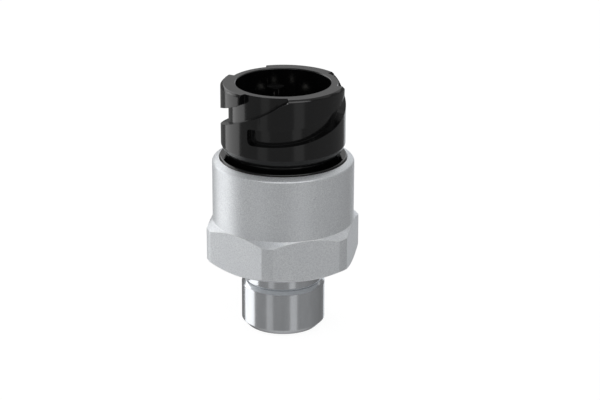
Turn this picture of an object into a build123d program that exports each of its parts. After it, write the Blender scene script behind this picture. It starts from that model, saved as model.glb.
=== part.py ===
from build123d import *
import math
import os

# Pressure sensor with a hexagon body, a plain round pressure spigot and a bayonet plug socket.
# Millimetres, +Z up along the axis. The origin is the centre of the spigot's end face.
# The plug socket and the pieces inside are turned from the hexagon by SOCKET_TURN.
# Their own angles run from the front (-Y) towards the right (+X).
# Each turned piece is an outline of (radius, height) points, revolved about the axis.

# Driving sizes: the hexagon housing
HEX_ACROSS_FLATS = 27.0
HEX_CORNER_DEPTH = 1.5
HEX_SLOPE = 30.0
HEX_LOW_Z = 13.3
HEX_SIDE_HEIGHT = 6.2
HEX_FACE_INSET = 0.3
CASE_INSET = 0.05
CASE_HEIGHT = 11.65
CASE_EDGE_ROUND = 0.35
LIP_WIDTH = 1.31
LIP_SLOPE = 28.0
LIP_THICK = 0.7
CASE_WALL = 0.85
CUP_WALL = 2.45
CUP_FLOOR_THICK = 4.7
SEAL_SEAT_BELOW_LIP = 4.25

# Driving sizes: the pressure port
SPIGOT_R = 8.0
SPIGOT_LENGTH = 9.05
SPIGOT_END_CHAMFER = (1.0, 1.1)
SPIGOT_TOP_CHAMFER = (0.67, 0.64)
UNDERCUT_DEPTH = 1.05
UNDERCUT_LOW_ROUND = 0.3
UNDERCUT_TOP_ROUND = 0.9
SHANK_HEIGHT = 2.4
STEM_STEP = 1.4
BOSS_STEP = 2.0
BOSS_HEIGHT = 1.0
LOCK_RING_GAP = 0.8
LOCK_RING_THICK = 2.0
CHANNEL_R = 1.6
ORIFICE_WALL = 1.0
ORIFICE_LENGTH = 4.0
ORIFICE_INSET = 0.4
ORIFICE_HOLE_R = 0.5
ORIFICE_SLOT_WIDTH = 0.7
ORIFICE_SLOT_DEPTH = 0.7

# Driving sizes: the sensing cell
CELL_STEP = 0.6
CELL_WALL = 1.3
CELL_HEIGHT = 3.5
MEMBRANE_THICK = 0.35
BRIDGE_R = 2.2
BRIDGE_THICK = 0.15
WIRE_COUNT = 4
WIRE_R = 0.09
WIRE_FOOT_INSET = 0.6
WIRE_REACH = 1.7
WIRE_RISE = 0.35
WIRE_BEND_SHARE = 0.8

# Driving sizes: the electronics
CARRIER_HEIGHT = 6.6
CARRIER_RIM = 1.55
CARRIER_LEDGE = 1.1
BOARD_THICK = 1.0
BOARD_HOLE_GAP = 0.4
CHIP_SIDE = 3.6
CHIP_THICK = 0.9
CHIP_CORNER_GAP = 0.4
CAPACITOR_SIZE = (2.0, 1.25, 0.85)
CAPACITOR_ANGLES = (40.0, 140.0, 220.0, 320.0)
GROUND_SPRING_ANGLE = 90.0
SPRING_COIL_R = 0.8
SPRING_WIRE_R = 0.14
SPRING_END_GAP = 0.02
SPRING_PITCH = 0.7

# Driving sizes: the plug socket
SOCKET_TURN = -18.6
FLANGE_SIDE_GAP = 0.05
FLANGE_TOP_GAP = 0.04
FLANGE_STAND = 0.37
FLANGE_EDGE_ROUND = 0.35
NECK_DEPTH = 1.4
NECK_HEIGHT = 0.97
DRUM_BELOW_LIP = 0.39
DRUM_LOW_CHAMFER = (0.65, 1.5)
DRUM_HEIGHT = 13.15
RIM_CHAMFER = 0.45
SOCKET_WALL = 1.36
SOCKET_MOUTH_CHAMFER = 0.15
SOCKET_DEPTH = 14.7
SOCKET_FLOOR_THICK = 2.2
KEY_ANGLE = 189.5
KEY_R = 1.6
KEY_BELOW_RIM = 3.5
KEY_ROOT_SHARE = 0.25
SKIRT_GAP = 0.15
SKIRT_WALL = 1.85
MOAT_WALL = 0.49
MOAT_DEPTH = 1.5
PAD_HALF_WIDTH = 1.7
PAD_DEPTH = 0.11
PAD_SPREAD = 22.0

# Driving sizes: one bayonet track, which repeats round the drum.
# Its two edges are smooth curves through points of (angle, share of the way up to the rim).
TRACK_COUNT = 3
TRACK_DEPTH = 1.49
TRACK_ABOVE_CONE = 2.5
TRACK_LOW_EDGE = (
    (-40.0, 0.005), (-20.0, 0.008), (-1.4, 0.026), (18.8, 0.073), (29.7, 0.120), (42.0, 0.185),
    (58.0, 0.280), (74.0, 0.410), (87.0, 0.518), (98.4, 0.625), (108.7, 0.752), (118.0, 0.876),
    (124.5, 0.936), (135.0, 0.98),
)
TRACK_HIGH_EDGE = (
    (-40.0, 0.345), (-20.0, 0.348), (0.0, 0.367), (10.0, 0.385), (20.0, 0.413), (32.0, 0.464),
    (40.0, 0.516), (48.0, 0.567), (56.0, 0.620), (62.0, 0.663), (68.4, 0.722), (76.5, 0.800),
    (90.0, 0.95),
)
TRACK_START = -26.0
TRACK_END = 124.5
LAND_END = 76.5
CLOSED_END_ANGLE = -30.05
CLOSED_END_SIDE = 0.88
CLOSED_END_LOW_ROUND = 1.0
CLOSED_END_TOP_ROUND = 0.65

# Driving sizes: the contacts and seals
PIN_COUNT = 4
PIN_FIRST_ANGLE = 45.0
PIN_CIRCLE_SHARE = 0.506
PIN_R = 1.25
PIN_TIP_BELOW_RIM = 5.5
PIN_TIP_CHAMFER = 0.7
PIN_HEAD_STEP = 0.35
PIN_HEAD_THICK = 0.6
PIN_GAP = 0.02
PIN_HEAD_PLAY = 0.79
POTTING_THICK = 1.0
FIT_GAP = 0.02
SEAL_SECTION = 1.2
CUT_OVERSHOOT = 1.0

# Radii that follow from the sizes above, from the outside in
FLAT_R = HEX_ACROSS_FLATS / 2
HEX_BAR_R = FLAT_R + HEX_CORNER_DEPTH
HEX_FACE_R = FLAT_R - HEX_FACE_INSET
CASE_R = FLAT_R - CASE_INSET
LIP_R = CASE_R - LIP_WIDTH
FLANGE_SEAT_R = CASE_R - CASE_WALL
CUP_R = CASE_R - CUP_WALL
LOCK_RING_R = CUP_R - LOCK_RING_GAP
BOARD_R = CUP_R - CARRIER_RIM
CARRIER_BORE_R = BOARD_R - CARRIER_LEDGE
SKIRT_R = CUP_R - SKIRT_GAP
SKIRT_BORE_R = SKIRT_R - SKIRT_WALL
STEM_R = SPIGOT_R - STEM_STEP
BOSS_R = STEM_R - BOSS_STEP
CELL_R = BOSS_R - CELL_STEP
ORIFICE_R = CHANNEL_R + ORIFICE_WALL
WIRE_FOOT_R = BRIDGE_R - WIRE_FOOT_INSET
WIRE_PAD_R = WIRE_FOOT_R + WIRE_REACH
BOARD_HOLE_R = BRIDGE_R + BOARD_HOLE_GAP
MOAT_OUTER_R = LIP_R - MOAT_WALL
DRUM_R = LIP_R - DRUM_BELOW_LIP
DRUM_LOW_R = DRUM_R - DRUM_LOW_CHAMFER[0]
NECK_R = DRUM_R - NECK_DEPTH
TRACK_FLOOR_R = DRUM_R - TRACK_DEPTH
SOCKET_R = TRACK_FLOOR_R - SOCKET_WALL
PIN_CIRCLE_R = SOCKET_R * PIN_CIRCLE_SHARE
PIN_HEAD_R = PIN_R + PIN_HEAD_STEP
CHIP_CORNER_R = SKIRT_BORE_R - CHIP_CORNER_GAP
CHIP_CENTRE_R = math.sqrt(CHIP_CORNER_R ** 2 - (CHIP_SIDE / 2) ** 2) - CHIP_SIDE / 2
CAPACITOR_CENTRE_R = (BOARD_HOLE_R + CARRIER_BORE_R) / 2 + SPRING_COIL_R
GROUND_SPRING_CENTRE_R = CAPACITOR_CENTRE_R

# Heights that follow from the sizes above, from the bottom up
HEX_RISE = math.tan(math.radians(HEX_SLOPE))
LIP_RISE = math.tan(math.radians(LIP_SLOPE))
SHANK_TOP_Z = HEX_LOW_Z + SHANK_HEIGHT
HEX_CORNER_LOW_Z = HEX_LOW_Z + (HEX_BAR_R - HEX_FACE_R) * HEX_RISE
HEX_CORNER_HIGH_Z = HEX_CORNER_LOW_Z + HEX_SIDE_HEIGHT
HEX_HIGH_Z = HEX_CORNER_HIGH_Z + (HEX_BAR_R - CASE_R) * HEX_RISE
SHOULDER_Z = HEX_HIGH_Z + CASE_HEIGHT
LIP_Z = SHOULDER_Z + LIP_WIDTH * LIP_RISE
LIP_LOW_Z = LIP_Z - LIP_THICK
LIP_ROOT_Z = LIP_LOW_Z - (FLANGE_SEAT_R - LIP_R) * LIP_RISE
CUP_FLOOR_Z = HEX_LOW_Z + CUP_FLOOR_THICK
SEAL_SEAT_Z = LIP_Z - SEAL_SEAT_BELOW_LIP
LOCK_RING_Z = CUP_FLOOR_Z + LOCK_RING_THICK
CELL_Z = LOCK_RING_Z + BOSS_HEIGHT
CELL_TOP_Z = CELL_Z + CELL_HEIGHT
CARRIER_TOP_Z = LOCK_RING_Z + CARRIER_HEIGHT
BOARD_Z = CARRIER_TOP_Z - BOARD_THICK
FLANGE_LOW_Z = SEAL_SEAT_Z + SEAL_SECTION
FLANGE_TOP_Z = LIP_Z + FLANGE_STAND
DRUM_LOW_Z = FLANGE_TOP_Z + NECK_HEIGHT
DRUM_SIDE_Z = DRUM_LOW_Z + DRUM_LOW_CHAMFER[1]
RIM_Z = DRUM_LOW_Z + DRUM_HEIGHT
SOCKET_FLOOR_Z = RIM_Z - SOCKET_DEPTH
UNDER_FLOOR_Z = SOCKET_FLOOR_Z - SOCKET_FLOOR_THICK
POTTING_LOW_Z = UNDER_FLOOR_Z - POTTING_THICK
PIN_LOW_Z = POTTING_LOW_Z - PIN_HEAD_PLAY - PIN_HEAD_THICK
PIN_TIP_Z = RIM_Z - PIN_TIP_BELOW_RIM
TRACK_Z = DRUM_SIDE_Z + TRACK_ABOVE_CONE
PIN_ANGLES = [PIN_FIRST_ANGLE + 360.0 * i / PIN_COUNT for i in range(PIN_COUNT)]


def at(radius, angle, height):
    """The point at a radius, an angle from the front and a height."""
    turn = math.radians(angle)
    return Vector(radius * math.sin(turn), -radius * math.cos(turn), height)


def turned(outline, rounds=None):
    """Revolves an outline of (radius, height) points, with chosen corners rounded first."""
    points = [Vector(radius, 0, height) for radius, height in outline]
    face = Face(Wire.make_polygon(points, close=True))
    for index, radius in (rounds or {}).items():
        corner = min(face.vertices(), key=lambda v: (Vector(*v) - points[index]).length)
        face = face.fillet_2d(radius, [corner])
    return revolve(face, Axis.Z)


def disc(radius, low, high, bore=0.0):
    """A plain round disc or ring between two heights."""
    shape = Pos(0, 0, low) * extrude(Circle(radius), high - low)
    if bore:
        shape -= Pos(0, 0, low) * extrude(Circle(bore), high - low)
    return shape


def save(shape, name):
    """Writes one piece."""
    export_step(shape, f"parts/{name}.step")


def save_turned(shape, name):
    """Writes one piece that is turned with the plug socket."""
    save(Rot(0, 0, SOCKET_TURN) * shape, name)


# Housing: the hexagon, the round case above it and the lip rolled over the socket's flange
def make_housing():
    hexagon = extrude(RegularPolygon(FLAT_R, 6, major_radius=False), HEX_HIGH_Z)
    hexagon = Pos(0, 0, HEX_LOW_Z - CUT_OVERSHOOT) * hexagon
    bar = turned([
        (0, HEX_LOW_Z),
        (HEX_FACE_R, HEX_LOW_Z),
        (HEX_BAR_R, HEX_CORNER_LOW_Z),
        (HEX_BAR_R, HEX_CORNER_HIGH_Z),
        (CASE_R, HEX_HIGH_Z),
        (0, HEX_HIGH_Z),
    ])
    case = turned([
        (0, HEX_HIGH_Z),
        (CASE_R, HEX_HIGH_Z),
        (CASE_R, SHOULDER_Z),
        (LIP_R, LIP_Z),
        (LIP_R, LIP_LOW_Z),
        (0, LIP_LOW_Z),
    ], {2: CASE_EDGE_ROUND})
    hollow = turned([
        (0, CUP_FLOOR_Z),
        (CUP_R, CUP_FLOOR_Z),
        (CUP_R, SEAL_SEAT_Z),
        (FLANGE_SEAT_R, SEAL_SEAT_Z),
        (FLANGE_SEAT_R, LIP_ROOT_Z),
        (LIP_R, LIP_LOW_Z),
        (LIP_R, LIP_Z + CUT_OVERSHOOT),
        (0, LIP_Z + CUT_OVERSHOOT),
    ])
    shank_hole = disc(SPIGOT_R + FIT_GAP, HEX_LOW_Z - CUT_OVERSHOOT, SHANK_TOP_Z)
    stem_hole = disc(STEM_R + FIT_GAP, SHANK_TOP_Z, CUP_FLOOR_Z)
    return (hexagon & bar) + case - hollow - shank_hole - stem_hole


# Pressure port: the spigot, its undercut, the shank and stem in the housing and the cell's boss
def make_port():
    undercut_r = SPIGOT_R - UNDERCUT_DEPTH
    body = turned([
        (0, 0),
        (SPIGOT_R - SPIGOT_END_CHAMFER[0], 0),
        (SPIGOT_R, SPIGOT_END_CHAMFER[1]),
        (SPIGOT_R, SPIGOT_LENGTH - SPIGOT_TOP_CHAMFER[1]),
        (SPIGOT_R - SPIGOT_TOP_CHAMFER[0], SPIGOT_LENGTH),
        (undercut_r, SPIGOT_LENGTH),
        (undercut_r, HEX_LOW_Z),
        (SPIGOT_R, HEX_LOW_Z),
        (SPIGOT_R, SHANK_TOP_Z),
        (STEM_R, SHANK_TOP_Z),
        (STEM_R, LOCK_RING_Z),
        (BOSS_R, LOCK_RING_Z),
        (BOSS_R, CELL_Z),
        (0, CELL_Z),
    ], {5: UNDERCUT_LOW_ROUND, 6: UNDERCUT_TOP_ROUND})
    channel = disc(CHANNEL_R, 0, CELL_Z)
    seat = disc(ORIFICE_R, 0, ORIFICE_INSET + ORIFICE_LENGTH)
    return body - channel - seat


def make_lock_ring():
    """The ring pressed over the port's stem, which holds the port in the housing."""
    return disc(LOCK_RING_R, CUP_FLOOR_Z, LOCK_RING_Z, STEM_R + FIT_GAP)


# Damping orifice: a slotted plug with a small hole, pressed into the spigot's end
def make_orifice():
    low = ORIFICE_INSET
    body = disc(ORIFICE_R - FIT_GAP, low, low + ORIFICE_LENGTH, ORIFICE_HOLE_R)
    slot = Pos(0, 0, low) * Box(2 * ORIFICE_R, ORIFICE_SLOT_WIDTH, 2 * ORIFICE_SLOT_DEPTH)
    return body - slot


# Sensing cell: a thin steel membrane on a thick ring, welded to the port's boss
def make_cell():
    cavity = disc(CELL_R - CELL_WALL, CELL_Z, CELL_TOP_Z - MEMBRANE_THICK)
    return disc(CELL_R, CELL_Z, CELL_TOP_Z) - cavity


def make_bridge():
    """The strain bridge's insulating disc on the membrane."""
    return disc(BRIDGE_R, CELL_TOP_Z, CELL_TOP_Z + BRIDGE_THICK)


# Bond wires: from the bridge, up through the board's hole and down on to its pads
def make_wires():
    low = CELL_TOP_Z + BRIDGE_THICK
    high = CARRIER_TOP_Z
    wires = []
    for i in range(WIRE_COUNT):
        angle = 360.0 * i / WIRE_COUNT
        route = [
            at(WIRE_FOOT_R, angle, low),
            at(WIRE_FOOT_R, angle, high + WIRE_RISE),
            at(WIRE_PAD_R, angle, high + WIRE_RISE),
            at(WIRE_PAD_R, angle, high),
        ]
        line = FilletPolyline(*route, radius=WIRE_RISE * WIRE_BEND_SHARE)
        section = Plane(origin=route[0], z_dir=(0, 0, 1)) * Circle(WIRE_R)
        wires.append(sweep(section, line))
    return Compound(children=wires)


# Board carrier: a moulded ring that stands on the lock ring and holds the board
def make_carrier():
    ring = disc(CUP_R - FLANGE_SIDE_GAP, LOCK_RING_Z, CARRIER_TOP_Z, CARRIER_BORE_R)
    recess = disc(BOARD_R + FIT_GAP, BOARD_Z, CARRIER_TOP_Z)
    return ring - recess


def make_board():
    """The round circuit board."""
    return disc(BOARD_R, BOARD_Z, CARRIER_TOP_Z, BOARD_HOLE_R)


def make_chip():
    """The signal chip on top of the board."""
    place = at(CHIP_CENTRE_R, 0, CARRIER_TOP_Z + CHIP_THICK / 2)
    return Pos(*place) * Box(CHIP_SIDE, CHIP_SIDE, CHIP_THICK)


def make_capacitors():
    """The small capacitors on the underside of the board."""
    found = []
    for angle in CAPACITOR_ANGLES:
        place = at(CAPACITOR_CENTRE_R, angle, BOARD_Z - CAPACITOR_SIZE[2] / 2)
        found.append(Pos(*place) * Rot(0, 0, angle) * Box(*CAPACITOR_SIZE))
    return Compound(children=found)


# Coil springs: one under each pin's head, and one that earths the board
def make_spring(centre_r, angle, low, high):
    bottom = low + SPRING_END_GAP + SPRING_WIRE_R
    rise = high - SPRING_END_GAP - SPRING_WIRE_R - bottom
    path = Helix(pitch=SPRING_PITCH, height=rise, radius=SPRING_COIL_R)
    section = Plane(origin=path @ 0, z_dir=path % 0) * Circle(SPRING_WIRE_R)
    coil = sweep(section, path, is_frenet=True)
    return Pos(*at(centre_r, angle, bottom)) * coil


def edge_height(edge, angle):
    """The height of a track's edge at an angle, on a smooth curve through the edge's points."""
    last = len(edge) - 1
    i = max(k for k in range(last) if k == 0 or edge[k][0] <= angle)
    (from_angle, low), (to_angle, high) = edge[i], edge[i + 1]
    before, after = edge[max(i - 1, 0)], edge[min(i + 2, last)]
    width = to_angle - from_angle
    slope_in = (high - before[1]) / (to_angle - before[0]) * width
    slope_out = (after[1] - low) / (after[0] - from_angle) * width
    t = (angle - from_angle) / width
    bend = slope_in * (1 - t) - slope_out * t + (high - low) * (2 * t - 1)
    share = low + (high - low) * t + t * (1 - t) * bend
    return TRACK_Z + (RIM_Z - TRACK_Z) * share


def track_section(angle, is_open):
    """One upright slice of a track."""
    outer_r = DRUM_R + CUT_OVERSHOOT
    low = edge_height(TRACK_LOW_EDGE, angle)
    high = RIM_Z + CUT_OVERSHOOT if is_open else edge_height(TRACK_HIGH_EDGE, angle)
    return Wire.make_polygon([
        at(TRACK_FLOOR_R, angle, low),
        at(outer_r, angle, low),
        at(outer_r, angle, high),
        at(TRACK_FLOOR_R, angle, high),
    ], close=True)


def spread(first, last, count):
    """Evenly spaced values from the first to the last."""
    return [first + (last - first) * i / count for i in range(count + 1)]


def make_closed_end():
    """The rounded closed end of a track, where the plug's lug comes to rest."""
    low = edge_height(TRACK_LOW_EDGE, TRACK_START)
    high = edge_height(TRACK_HIGH_EDGE, TRACK_START)
    reach = (DRUM_R + CUT_OVERSHOOT) * math.sin(math.radians(TRACK_START - CLOSED_END_ANGLE))
    wall = -CLOSED_END_SIDE
    outline = Polygon((wall, low), (reach, low), (reach, high), (wall, high), align=None).face()
    for corner, radius in (((wall, low), CLOSED_END_LOW_ROUND), ((wall, high), CLOSED_END_TOP_ROUND)):
        vertex = min(outline.vertices(), key=lambda v: math.dist((v.X, v.Y), corner))
        outline = outline.fillet_2d(radius, [vertex])
    turn = math.radians(CLOSED_END_ANGLE)
    side_plane = Plane(
        origin=at(TRACK_FLOOR_R - CUT_OVERSHOOT, CLOSED_END_ANGLE, 0),
        x_dir=(math.cos(turn), math.sin(turn), 0),
        z_dir=at(1, CLOSED_END_ANGLE, 0),
    )
    block = extrude(side_plane * outline, TRACK_DEPTH + 2 * CUT_OVERSHOOT)
    return block - disc(TRACK_FLOOR_R, low - CUT_OVERSHOOT, high + CUT_OVERSHOOT)


def make_track():
    """The space that one bayonet track takes out of the drum."""
    run = [track_section(angle, False) for angle in spread(TRACK_START, LAND_END, 16)]
    entry = [track_section(angle, True) for angle in spread(LAND_END, TRACK_END, 8)]
    return Solid.make_loft(run) + Solid.make_loft(entry) + make_closed_end()


# Plug socket: flange, skirt, drum and socket, moulded in one piece
def make_shell():
    top_r = LIP_R - FLANGE_TOP_GAP
    side_r = FLANGE_SEAT_R - FLANGE_SIDE_GAP
    body = turned([
        (0, UNDER_FLOOR_Z),
        (SKIRT_BORE_R, UNDER_FLOOR_Z),
        (SKIRT_BORE_R, CARRIER_TOP_Z),
        (SKIRT_R, CARRIER_TOP_Z),
        (SKIRT_R, FLANGE_LOW_Z),
        (side_r, FLANGE_LOW_Z),
        (side_r, LIP_LOW_Z - (side_r - LIP_R) * LIP_RISE - FIT_GAP),
        (top_r, LIP_LOW_Z - FIT_GAP),
        (top_r, FLANGE_TOP_Z),
        (NECK_R, FLANGE_TOP_Z),
        (NECK_R, DRUM_LOW_Z),
        (DRUM_LOW_R, DRUM_LOW_Z),
        (DRUM_R, DRUM_SIDE_Z),
        (DRUM_R, RIM_Z - RIM_CHAMFER),
        (DRUM_R - RIM_CHAMFER, RIM_Z),
        (SOCKET_R + SOCKET_MOUTH_CHAMFER, RIM_Z),
        (SOCKET_R, RIM_Z - SOCKET_MOUTH_CHAMFER),
        (SOCKET_R, SOCKET_FLOOR_Z),
        (0, SOCKET_FLOOR_Z),
    ], {8: FLANGE_EDGE_ROUND})
    track = make_track()
    for i in range(TRACK_COUNT):
        body -= Rot(0, 0, 360.0 * i / TRACK_COUNT) * track
    body -= make_moats()
    body += make_key()
    for angle in PIN_ANGLES:
        hole = disc(PIN_R + PIN_GAP, UNDER_FLOOR_Z, SOCKET_FLOOR_Z)
        body -= Pos(*at(PIN_CIRCLE_R, angle, 0)) * hole
    return body


def make_moats():
    """The two hollows in the flange's top, parted by a pad at each side."""
    low = FLANGE_TOP_Z - MOAT_DEPTH
    ring = disc(MOAT_OUTER_R, low, FLANGE_TOP_Z + NECK_HEIGHT / 2, NECK_R)
    inner_x = NECK_R + PAD_DEPTH
    reach = DRUM_R - inner_x + CUT_OVERSHOOT
    wide = PAD_HALF_WIDTH + reach / math.tan(math.radians(PAD_SPREAD))
    pad = Polygon(
        (0, -PAD_HALF_WIDTH),
        (inner_x, -PAD_HALF_WIDTH),
        (inner_x + reach, -wide),
        (inner_x + reach, wide),
        (inner_x, PAD_HALF_WIDTH),
        (0, PAD_HALF_WIDTH),
        align=None,
    )
    block = Pos(0, 0, low) * extrude(pad, MOAT_DEPTH + NECK_HEIGHT)
    return ring - block - Rot(0, 0, 180) * block


def make_key():
    """The half-round key rib on the socket's wall."""
    height = SOCKET_DEPTH - KEY_BELOW_RIM
    rib = Pos(*at(SOCKET_R, KEY_ANGLE, SOCKET_FLOOR_Z)) * extrude(Circle(KEY_R), height)
    root_r = SOCKET_R + (TRACK_FLOOR_R - SOCKET_R) * KEY_ROOT_SHARE
    return rib & disc(root_r, SOCKET_FLOOR_Z, RIM_Z)


# Contact pin: a round pin with a head that the contact spring presses on
def make_pin(angle):
    pin = turned([
        (0, PIN_LOW_Z),
        (PIN_HEAD_R, PIN_LOW_Z),
        (PIN_HEAD_R, PIN_LOW_Z + PIN_HEAD_THICK),
        (PIN_R, PIN_LOW_Z + PIN_HEAD_THICK),
        (PIN_R, PIN_TIP_Z - PIN_TIP_CHAMFER),
        (PIN_R - PIN_TIP_CHAMFER, PIN_TIP_Z),
        (0, PIN_TIP_Z),
    ], {4: PIN_TIP_CHAMFER / 2})
    return Pos(*at(PIN_CIRCLE_R, angle, 0)) * pin


# Potting: the resin disc that seals the pins under the socket's floor
def make_potting():
    plug = disc(SKIRT_BORE_R - FIT_GAP, POTTING_LOW_Z, UNDER_FLOOR_Z)
    for angle in PIN_ANGLES:
        hole = disc(PIN_R + PIN_GAP, POTTING_LOW_Z, UNDER_FLOOR_Z)
        plug -= Pos(*at(PIN_CIRCLE_R, angle, 0)) * hole
    return plug


# Flange seal: an O-ring between the housing's ledge and the socket's flange
def make_seal():
    ring_r = FLANGE_SEAT_R - FIT_GAP - SEAL_SECTION / 2
    return Pos(0, 0, SEAL_SEAT_Z + SEAL_SECTION / 2) * Torus(ring_r, SEAL_SECTION / 2)


def main():
    os.makedirs("parts", exist_ok=True)
    save(make_housing(), "housing")
    save(make_port(), "pressure_port")
    save(make_lock_ring(), "lock_ring")
    save(make_orifice(), "damping_orifice")
    save(make_cell(), "sensor_cell")
    save(make_bridge(), "bridge_chip")
    save(make_seal(), "flange_seal")
    save_turned(make_wires(), "bond_wires")
    save_turned(make_carrier(), "board_carrier")
    save_turned(make_board(), "circuit_board")
    save_turned(make_chip(), "signal_chip")
    save_turned(make_capacitors(), "board_capacitors")
    save_turned(make_shell(), "connector_shell")
    save_turned(make_potting(), "pin_potting")
    earth = make_spring(GROUND_SPRING_CENTRE_R, GROUND_SPRING_ANGLE, LOCK_RING_Z, BOARD_Z)
    save_turned(earth, "ground_spring")
    for number, angle in enumerate(PIN_ANGLES, 1):
        save_turned(make_pin(angle), f"contact_pin_{number}")
        spring = make_spring(PIN_CIRCLE_R, angle, CARRIER_TOP_Z, PIN_LOW_Z)
        save_turned(spring, f"contact_spring_{number}")


main()
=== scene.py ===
import math

import bmesh
import bpy
from mathutils import Matrix, Vector


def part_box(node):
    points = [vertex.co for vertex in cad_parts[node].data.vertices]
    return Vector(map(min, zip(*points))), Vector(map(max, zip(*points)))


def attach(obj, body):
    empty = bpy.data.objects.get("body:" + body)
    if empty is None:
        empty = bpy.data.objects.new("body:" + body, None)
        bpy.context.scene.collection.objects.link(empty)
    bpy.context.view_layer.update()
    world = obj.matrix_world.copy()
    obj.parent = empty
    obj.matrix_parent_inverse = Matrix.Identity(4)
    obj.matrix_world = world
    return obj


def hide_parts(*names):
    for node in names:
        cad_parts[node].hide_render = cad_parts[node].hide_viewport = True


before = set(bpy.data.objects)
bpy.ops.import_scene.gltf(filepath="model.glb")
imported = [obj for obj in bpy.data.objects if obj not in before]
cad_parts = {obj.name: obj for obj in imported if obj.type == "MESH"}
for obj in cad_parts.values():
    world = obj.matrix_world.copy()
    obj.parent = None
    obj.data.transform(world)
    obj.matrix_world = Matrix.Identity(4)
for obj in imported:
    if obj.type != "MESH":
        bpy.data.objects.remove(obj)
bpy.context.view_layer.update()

bl_info = {
    "name": "Pressure sensor",
    "version": (1, 0, 0),
    "blender": (4, 5, 0),
    "location": "3D View > Sidebar > Pressure sensor",
    "description": "Builds the looks of a pressure sensor around its packed solids",
    "category": "Object",
}

MM = 0.001
HOUSING_LOW, HOUSING_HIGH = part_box("housing")
PORT_LOW, PORT_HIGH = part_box("pressure_port")
SHELL_LOW, SHELL_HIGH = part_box("connector_shell")
PIN_NODES = sorted(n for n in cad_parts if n.startswith("contact_pin_"))
SPRING_NODES = sorted(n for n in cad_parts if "spring" in n)


def size(name, description, default_mm):
    """A length that a user can change, held in metres."""
    return bpy.props.FloatProperty(
        name=name, description=description, default=default_mm * MM, unit="LENGTH", precision=5
    )


def tint(name, description, default):
    """A colour that a user can change."""
    return bpy.props.FloatVectorProperty(
        name=name, description=description, default=default, subtype="COLOR", size=3, min=0, max=1
    )


class SensorHousingSizes(bpy.types.PropertyGroup):
    """Sizes of the hexagon, the case and the rolled lip."""

    flat_r: size("Flat radius", "Half the size across flats", HOUSING_HIGH.y / MM)
    bar_r: size("Bar radius", "Radius that the hexagon's corners are turned to", HOUSING_HIGH.x / MM)
    low_z: size("Underside", "Height of the hexagon's underside", HOUSING_LOW.z / MM)
    side_height: size("Side height", "Height of a hexagon corner's straight side", 6.2)
    face_inset: size("Face inset", "How far the underside's flat ring stays inside the flats", 0.3)
    case_inset: size("Case inset", "How far the round case stays inside the flats", 0.05)
    lip_z: size("Lip top", "Height of the rolled lip's top", HOUSING_HIGH.z / MM)
    lip_width: size("Lip width", "Width of the rolled lip's cone", 1.31)
    lip_thick: size("Lip thickness", "Thickness of the rolled lip", 0.7)
    case_wall: size("Upper wall", "Wall round the socket's flange", 0.85)
    cup_wall: size("Lower wall", "Wall round the electronics", 2.45)
    seat_drop: size("Seal seat", "Depth of the seal's seat below the lip", 4.25)
    floor_thick: size("Floor", "Thickness of the cup's floor", 4.7)
    shank_height: size("Shank hole", "Depth of the wide hole for the port's shank", 2.4)
    stem_step: size("Stem step", "How much narrower the stem's hole is", 1.4)
    edge_round: size("Case edge", "Rounding of the case's upper edge", 0.3)
    hexagon_slope: bpy.props.FloatProperty(
        name="Hexagon slope", description="Slope of the hexagon's cones", default=math.radians(30),
        subtype="ANGLE")
    lip_slope: bpy.props.FloatProperty(
        name="Lip slope", description="Slope of the rolled lip", default=math.radians(28),
        subtype="ANGLE")
    colour: tint("Housing colour", "Colour of the blasted metal", (0.84, 0.865, 0.90))


class SensorPortSizes(bpy.types.PropertyGroup):
    """Sizes of the polished spigot and what is above it."""

    spigot_r: size("Spigot radius", "Radius of the spigot", PORT_HIGH.x / MM)
    length: size("Spigot length", "Height of the spigot's top edge", 9.05)
    end_width: size("End chamfer width", "Width of the end chamfer", 1.0)
    end_height: size("End chamfer height", "Height of the end chamfer", 1.1)
    top_width: size("Top chamfer width", "Width of the top chamfer", 0.67)
    top_height: size("Top chamfer height", "Height of the top chamfer", 0.64)
    undercut: size("Undercut", "Depth of the undercut", 1.05)
    undercut_low: size("Undercut low rounding", "Radius in the undercut's lower corner", 0.3)
    undercut_top: size("Undercut top rounding", "Radius under the hexagon", 0.9)
    channel_r: size("Channel radius", "Radius of the pressure channel", 1.6)
    orifice_r: size("Orifice seat", "Radius of the seat for the damping plug", 2.6)
    orifice_depth: size("Orifice seat depth", "Depth of that seat", 4.4)
    colour: tint("Port colour", "Colour of the polished steel", (0.70, 0.72, 0.745))


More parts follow.
